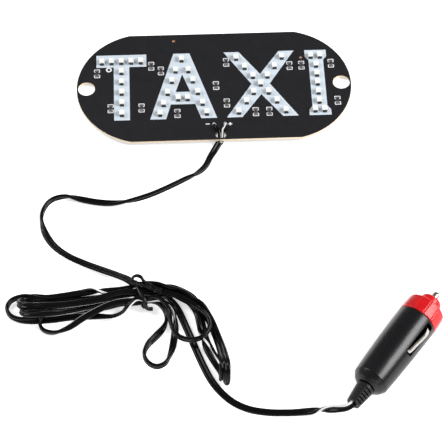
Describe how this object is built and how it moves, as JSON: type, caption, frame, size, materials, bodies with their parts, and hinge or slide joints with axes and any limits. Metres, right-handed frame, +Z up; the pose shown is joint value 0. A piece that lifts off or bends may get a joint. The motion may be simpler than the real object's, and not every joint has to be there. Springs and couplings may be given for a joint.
{
  "type": "taxi sign light",
  "caption": "Windscreen taxi sign light: a black oval circuit board with white LEDs along block letters, a twin lead in a tied hank, and a black and red car lighter plug.",
  "frame": {"origin": "on the surface that the board lies on, under the middle of the board", "axes": "+X along the board to the reader's right, +Y from the cord edge of the board to its far edge, +Z up from the surface"},
  "size_m": [0.2194, 0.2439, 0.021],
  "materials": {
    "board": "black solder mask, satin, on cream glass-epoxy laminate",
    "led": "white reflector package with pale yellow phosphor",
    "resistor": "black glaze with tinned ends",
    "solder": "bright tin solder",
    "legend": "white screen print",
    "cord": "semi-gloss vinyl, one core with a white stripe",
    "tie": "satin vinyl over wire",
    "plug": "satin moulded",
    "cap": "glossy moulded red",
    "nickel": "bright nickel plate",
    "glass": "clear"
  },
  "bodies": {
    "sign": {"circuit_board": "board", "led_string_01": "led", "led_string_02": "led", "led_string_03": "led", "led_string_04": "led", "led_string_05": "led", "led_string_06": "led", "led_string_07": "led", "led_string_08": "led", "led_string_09": "led", "led_string_10": "led", "led_string_11": "led", "led_string_12": "led", "led_string_13": "led", "led_string_14": "led", "led_string_15": "led", "resistor_01": "resistor", "resistor_02": "resistor", "resistor_03": "resistor", "resistor_04": "resistor", "resistor_05": "resistor", "resistor_06": "resistor", "resistor_07": "resistor", "resistor_08": "resistor", "resistor_09": "resistor", "resistor_10": "resistor", "resistor_11": "resistor", "resistor_12": "resistor", "resistor_13": "resistor", "resistor_14": "resistor", "resistor_15": "resistor", "solder_joint_minus": "solder", "solder_joint_plus": "solder", "core_minus": "cord", "core_plus": "cord", "cord_board_lead": "cord", "cord_hank_left": "cord", "cord_hank_waist": "cord", "cord_hank_right": "cord", "cord_long_loop": "cord", "cord_teardrop_loop": "cord", "cord_plug_lead": "cord", "twist_tie": "tie", "strain_relief": "plug", "plug_housing": "plug", "fuse_cap_rear": "nickel", "fuse_cap_front": "nickel", "fuse_glass": "glass", "fuse_wire": "nickel", "rear_contact": "nickel", "earth_ring": "nickel"},
    "cap_thread": {"pin_spring": "nickel"},
    "screw_cap": {"screw_cap": "cap"},
    "contact_pin": {"contact_pin": "nickel"},
    "earth_contact_right": {"earth_contact_right": "nickel"},
    "earth_contact_left": {"earth_contact_left": "nickel"}
  },
  "joints": [
    {"name": "cap_advance", "type": "slide", "parent": "sign", "child": "cap_thread", "axis": [0.6157, 0.788, 0], "range_m": [0, 0.0045], "deforming": ["pin_spring"]},
    {"name": "cap_unscrew", "type": "hinge", "parent": "cap_thread", "child": "screw_cap", "pos_m": [0.0966, -0.15524, 0.0105], "axis": [0.6157, 0.788, 0], "range_deg": [0, 1080]},
    {"name": "pin_press", "type": "slide", "parent": "cap_thread", "child": "contact_pin", "axis": [-0.6157, -0.788, 0], "range_m": [0, 0.0035], "stiffness_N_per_m": 300, "springref_m": -0.003, "deforming": ["pin_spring"]},
    {"name": "earth_contact_right_press", "type": "hinge", "parent": "sign", "child": "earth_contact_right", "pos_m": [0.08524, -0.1791, 0.01452], "axis": [-0.452, 0.3531, 0.8192], "range_deg": [0, 6], "stiffness_Nm_per_rad": 0.02, "springref_deg": -2.86},
    {"name": "earth_contact_left_press", "type": "hinge", "parent": "sign", "child": "earth_contact_left", "pos_m": [0.0762, -0.17204, 0.00649], "axis": [0.452, -0.3531, -0.8192], "range_deg": [0, 6], "stiffness_Nm_per_rad": 0.02, "springref_deg": -2.86}
  ],
  "couplings": [
    {"joint": "cap_advance", "follows": "cap_unscrew", "m_per_rad": 0.00023873}
  ]
}
